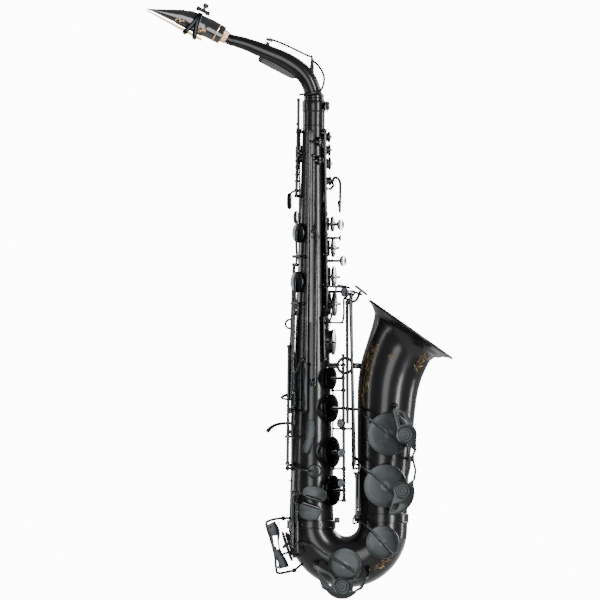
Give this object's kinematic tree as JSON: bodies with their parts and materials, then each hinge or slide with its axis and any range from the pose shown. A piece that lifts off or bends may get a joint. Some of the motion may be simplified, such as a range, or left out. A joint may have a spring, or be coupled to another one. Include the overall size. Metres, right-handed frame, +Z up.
{
  "type": "alto saxophone",
  "caption": "Curved-neck reed instrument: conical tube, bow and flared bell with sprung pad keys, mouthpiece on a swivelling neck.",
  "frame": {"origin": "centre of the neck-strap ring on the player's side of the body tube", "axes": "+Z up along the body tube's axis, +X from the player towards the bell, +Y towards the left-hand side"},
  "size_m": [0.3715, 0.1222, 0.7143],
  "materials": {
    "black_lacquer": "matte black lacquer on brass",
    "satin_keys": "satin black nickel key cups and touches",
    "black_nickel": "polished black nickel rods, posts and screws",
    "ebonite": "polished hard rubber",
    "cane": "bare cane",
    "cork": "greased cork",
    "pad_leather": "brown pad leather",
    "gold_trim": "bare brass scrollwork, mouthpiece ring and springs",
    "felt": "black felt bumpers"
  },
  "bodies": {
    "horn": {"body_tube": "black_lacquer", "bow": "black_lacquer", "bell": "black_lacquer", "body_bow_ferrule": "black_lacquer", "bell_bow_ferrule": "black_lacquer", "neck_receiver": "black_lacquer", "bell_brace": "black_nickel", "strap_ring": "black_nickel", "thumb_hook": "black_lacquer", "thumb_rest": "black_lacquer", "bell_key_guard": "satin_keys", "low_c_guard": "satin_keys", "low_eb_guard": "satin_keys", "right_side_posts": "black_nickel", "lower_stack_posts": "black_nickel", "trill_key_posts": "black_nickel", "player_side_posts": "black_nickel", "palm_key_posts": "black_nickel", "bell_key_posts": "black_nickel", "bell_side_posts": "black_nickel"},
    "neck": {"neck": "black_lacquer", "neck_cork": "cork"},
    "neck_octave_key": {"neck_octave_key": "satin_keys"},
    "mouthpiece": {"mouthpiece": "ebonite", "reed": "cane", "ligature": "black_nickel"},
    "ligature_screw": {"ligature_screw": "black_nickel"},
    "neck_clamp_screw": {"neck_clamp_screw": "black_nickel"},
    "low_b_key": {"low_b_key": "satin_keys", "low_b_pad": "pad_leather"},
    "low_bb_key": {"low_bb_key": "satin_keys", "low_bb_pad": "pad_leather"},
    "thumb_octave_lever": {"thumb_octave_lever": "satin_keys"},
    "body_octave_key": {"body_octave_key": "satin_keys"},
    "octave_link": {"octave_link": "black_nickel"},
    "palm_d_key": {"palm_d_key": "satin_keys"},
    "palm_eb_key": {"palm_eb_key": "satin_keys"},
    "palm_f_key": {"palm_f_key": "satin_keys"},
    "front_f_key": {"front_f_key": "satin_keys"},
    "b_key": {"b_key": "satin_keys"},
    "bis_key": {"bis_key": "satin_keys"},
    "a_key": {"a_key": "satin_keys"},
    "g_key": {"g_key": "satin_keys"},
    "g_sharp_key": {"g_sharp_key": "satin_keys"},
    "low_c_sharp_lever": {"low_c_sharp_lever": "satin_keys"},
    "low_c_sharp_key": {"low_c_sharp_key": "satin_keys"},
    "f_sharp_cup": {"f_sharp_cup": "satin_keys"},
    "f_key": {"f_key": "satin_keys"},
    "e_key": {"e_key": "satin_keys"},
    "d_key": {"d_key": "satin_keys"},
    "high_e_key": {"high_e_key": "satin_keys"},
    "high_f_sharp_touch": {"high_f_sharp_touch": "satin_keys"},
    "high_f_sharp_cup": {"high_f_sharp_cup": "satin_keys"},
    "trill_key": {"trill_key": "satin_keys"},
    "side_bb_touch": {"side_bb_touch": "satin_keys"},
    "side_bb_cup": {"side_bb_cup": "satin_keys"},
    "side_c_touch": {"side_c_touch": "satin_keys"},
    "side_c_cup": {"side_c_cup": "satin_keys"},
    "low_eb_key": {"low_eb_key": "satin_keys"},
    "low_c_key": {"low_c_key": "satin_keys"}
  },
  "joints": [
    {"name": "neck_swivel", "type": "hinge", "parent": "horn", "child": "neck", "pos_m": [0.0271, 0, 0.256], "axis": [0, 0, 1], "range_deg": [-25, 25]},
    {"name": "mouthpiece_slide", "type": "slide", "parent": "neck", "child": "mouthpiece", "axis": [-0.8829, 0, 0.4695], "range_m": [0, 0.012]},
    {"name": "ligature_screw_turn", "type": "hinge", "parent": "mouthpiece", "child": "ligature_screw", "pos_m": [-0.10658, 0, 0.37509], "axis": [0.4695, 0, 0.8829], "range_deg": [-180, 180]},
    {"name": "neck_clamp_turn", "type": "hinge", "parent": "horn", "child": "neck_clamp_screw", "pos_m": [0.0429, -0.011, 0.261], "axis": [0, 1, 0], "range_deg": [-90, 90]},
    {"name": "thumb_octave", "type": "hinge", "parent": "horn", "child": "thumb_octave_lever", "pos_m": [0.00745, -0.0035, 0.192], "axis": [0.0192, 0, 0.9998], "range_deg": [-12, 0], "stiffness_Nm_per_rad": 0.03, "springref_deg": 28.65},
    {"name": "body_octave", "type": "hinge", "parent": "horn", "child": "body_octave_key", "pos_m": [0.00745, -0.0035, 0.192], "axis": [0.0192, 0, 0.9998], "range_deg": [-12, 0], "stiffness_Nm_per_rad": 0.03, "springref_deg": 28.65},
    {"name": "octave_link_turn", "type": "hinge", "parent": "horn", "child": "octave_link", "pos_m": [0.0086, 0.002, 0.25125], "axis": [0, 0, 1], "range_deg": [-12, 0]},
    {"name": "neck_octave", "type": "hinge", "parent": "neck", "child": "neck_octave_key", "pos_m": [0.0245, 0, 0.317], "axis": [0, -1, 0], "range_deg": [-6, 0], "stiffness_Nm_per_rad": 0.03, "springref_deg": 28.65},
    {"name": "palm_d", "type": "hinge", "parent": "horn", "child": "palm_d_key", "pos_m": [0.0351, 0.01835, 0.18], "axis": [0, -0.0225, 0.9997], "range_deg": [0, 12], "stiffness_Nm_per_rad": 0.03, "springref_deg": -28.65},
    {"name": "palm_eb", "type": "hinge", "parent": "horn", "child": "palm_eb_key", "pos_m": [0.0281, 0.0201, 0.1945], "axis": [0, -0.027, 0.9996], "range_deg": [0, 12], "stiffness_Nm_per_rad": 0.03, "springref_deg": -28.65},
    {"name": "palm_f", "type": "hinge", "parent": "horn", "child": "palm_f_key", "pos_m": [0.0201, 0.019, 0.2105], "axis": [0, -0.0293, 0.9996], "range_deg": [0, 12], "stiffness_Nm_per_rad": 0.03, "springref_deg": -28.65},
    {"name": "front_f", "type": "hinge", "parent": "horn", "child": "front_f_key", "pos_m": [0.0475, 0, 0.1625], "axis": [0, 1, 0], "range_deg": [0, 9], "stiffness_Nm_per_rad": 0.03, "springref_deg": -28.65},
    {"name": "b_press", "type": "hinge", "parent": "horn", "child": "b_key", "pos_m": [0.0423, -0.01545, 0.1255], "axis": [-0.0195, 0.02, 0.9996], "range_deg": [0, 8], "stiffness_Nm_per_rad": 0.03, "springref_deg": -28.65},
    {"name": "bis_press", "type": "hinge", "parent": "horn", "child": "bis_key", "pos_m": [0.0423, -0.01545, 0.1255], "axis": [-0.0195, 0.02, 0.9996], "range_deg": [0, 8], "stiffness_Nm_per_rad": 0.03, "springref_deg": -28.65},
    {"name": "a_press", "type": "hinge", "parent": "horn", "child": "a_key", "pos_m": [0.0423, -0.01545, 0.1255], "axis": [-0.0195, 0.02, 0.9996], "range_deg": [0, 8], "stiffness_Nm_per_rad": 0.03, "springref_deg": -28.65},
    {"name": "g_press", "type": "hinge", "parent": "horn", "child": "g_key", "pos_m": [0.0423, -0.01545, 0.1255], "axis": [-0.0195, 0.02, 0.9996], "range_deg": [0, 8], "stiffness_Nm_per_rad": 0.03, "springref_deg": -28.65},
    {"name": "g_sharp", "type": "hinge", "parent": "horn", "child": "g_sharp_key", "pos_m": [0.0411, -0.02095, -0.0175], "axis": [-0.0235, 0.0137, 0.9996], "range_deg": [-10, 0], "stiffness_Nm_per_rad": 0.03, "springref_deg": 28.65},
    {"name": "low_c_sharp", "type": "hinge", "parent": "horn", "child": "low_c_sharp_lever", "pos_m": [0.0751, -0.0045, -0.067], "axis": [-0.0187, 0, 0.9998], "range_deg": [0, 6], "stiffness_Nm_per_rad": 0.03, "springref_deg": -28.65},
    {"name": "low_c_sharp_lift", "type": "hinge", "parent": "horn", "child": "low_c_sharp_key", "pos_m": [0.0811, -0.026, -0.20775], "axis": [0, 0, 1], "range_deg": [-6, 0], "stiffness_Nm_per_rad": 0.03, "springref_deg": 28.65},
    {"name": "low_b", "type": "hinge", "parent": "horn", "child": "low_b_key", "pos_m": [0.069, -0.012, -0.047], "axis": [-0.0103, 0, 0.9999], "range_deg": [0, 5.5], "stiffness_Nm_per_rad": 0.03, "springref_deg": -28.65},
    {"name": "low_bb", "type": "hinge", "parent": "horn", "child": "low_bb_key", "pos_m": [0.0754, -0.0195, -0.0685], "axis": [-0.0331, 0, 0.9995], "range_deg": [0, 5.5], "stiffness_Nm_per_rad": 0.03, "springref_deg": -28.65},
    {"name": "f_press", "type": "hinge", "parent": "horn", "child": "f_key", "pos_m": [0.065, -0.0075, -0.1195], "axis": [-0.0127, 0, 0.9999], "range_deg": [-9, 0], "stiffness_Nm_per_rad": 0.03, "springref_deg": 28.65},
    {"name": "e_press", "type": "hinge", "parent": "horn", "child": "e_key", "pos_m": [0.065, -0.0075, -0.1195], "axis": [-0.0127, 0, 0.9999], "range_deg": [-9, 0], "stiffness_Nm_per_rad": 0.03, "springref_deg": 28.65},
    {"name": "d_press", "type": "hinge", "parent": "horn", "child": "d_key", "pos_m": [0.065, -0.0075, -0.1195], "axis": [-0.0127, 0, 0.9999], "range_deg": [-9, 0], "stiffness_Nm_per_rad": 0.03, "springref_deg": 28.65},
    {"name": "f_sharp_close", "type": "hinge", "parent": "horn", "child": "f_sharp_cup", "pos_m": [0.065, -0.0075, -0.1195], "axis": [-0.0127, 0, 0.9999], "range_deg": [-9, 0], "stiffness_Nm_per_rad": 0.03, "springref_deg": 28.65},
    {"name": "high_e", "type": "hinge", "parent": "horn", "child": "high_e_key", "pos_m": [0.0209, -0.02195, 0.0915], "axis": [0.0078, 0.0274, 0.9996], "range_deg": [-8, 0], "stiffness_Nm_per_rad": 0.03, "springref_deg": 28.65},
    {"name": "high_f_sharp", "type": "hinge", "parent": "horn", "child": "high_f_sharp_touch", "pos_m": [0.03095, -0.02475, 0.016], "axis": [0.0095, 0.032, 0.9994], "range_deg": [-6, 0], "stiffness_Nm_per_rad": 0.03, "springref_deg": 28.65},
    {"name": "high_f_sharp_lift", "type": "hinge", "parent": "horn", "child": "high_f_sharp_cup", "pos_m": [0.0269, -0.0211, 0.156], "axis": [0, 0.0255, 0.9997], "range_deg": [-12, 0], "stiffness_Nm_per_rad": 0.03, "springref_deg": 28.65},
    {"name": "trill", "type": "hinge", "parent": "horn", "child": "trill_key", "pos_m": [-0.00145, -0.00725, -0.1], "axis": [0.0061, 0.0034, 1], "range_deg": [0, 5], "stiffness_Nm_per_rad": 0.03, "springref_deg": -28.65},
    {"name": "side_bb", "type": "hinge", "parent": "horn", "child": "side_bb_touch", "pos_m": [0.0038, -0.0119, -0.0465], "axis": [0.0185, 0.0218, 0.9996], "range_deg": [0, 8], "stiffness_Nm_per_rad": 0.03, "springref_deg": -28.65},
    {"name": "side_c", "type": "hinge", "parent": "horn", "child": "side_c_touch", "pos_m": [0.0019, 0.00425, -0.008], "axis": [0.0325, -0.0156, 0.9994], "range_deg": [0, 6], "stiffness_Nm_per_rad": 0.03, "springref_deg": -28.65},
    {"name": "side_bb_lift", "type": "hinge", "parent": "horn", "child": "side_bb_cup", "pos_m": [0.0065, -0.01496, 0.0245], "axis": [0.5878, -0.809, 0], "range_deg": [0, 8], "stiffness_Nm_per_rad": 0.03, "springref_deg": -28.65},
    {"name": "side_c_lift", "type": "hinge", "parent": "horn", "child": "side_c_cup", "pos_m": [0.0078, -0.01403, 0.081], "axis": [0.5878, -0.809, 0], "range_deg": [0, 7.8], "stiffness_Nm_per_rad": 0.03, "springref_deg": -28.65},
    {"name": "low_eb", "type": "hinge", "parent": "horn", "child": "low_eb_key", "pos_m": [0.005, -0.0236, -0.2355], "axis": [0.0203, 0.029, 0.9994], "range_deg": [0, 7.5], "stiffness_Nm_per_rad": 0.03, "springref_deg": -28.65},
    {"name": "low_c", "type": "hinge", "parent": "horn", "child": "low_c_key", "pos_m": [0.01035, -0.0276, -0.237], "axis": [-0.0038, 0.0205, 0.9998], "range_deg": [0, 5], "stiffness_Nm_per_rad": 0.03, "springref_deg": -28.65}
  ],
  "couplings": [
    {"joint": "body_octave", "follows": "thumb_octave", "ratio": 1},
    {"joint": "octave_link_turn", "follows": "thumb_octave", "ratio": 1},
    {"joint": "neck_octave", "follows": "thumb_octave", "ratio": 0.5},
    {"joint": "low_c_sharp_lift", "follows": "low_c_sharp", "ratio": -1},
    {"joint": "f_sharp_close", "follows": "f_press", "ratio": 1},
    {"joint": "high_f_sharp_lift", "follows": "high_f_sharp", "ratio": 2},
    {"joint": "side_bb_lift", "follows": "side_bb", "ratio": 1},
    {"joint": "side_c_lift", "follows": "side_c", "ratio": 1.3}
  ]
}
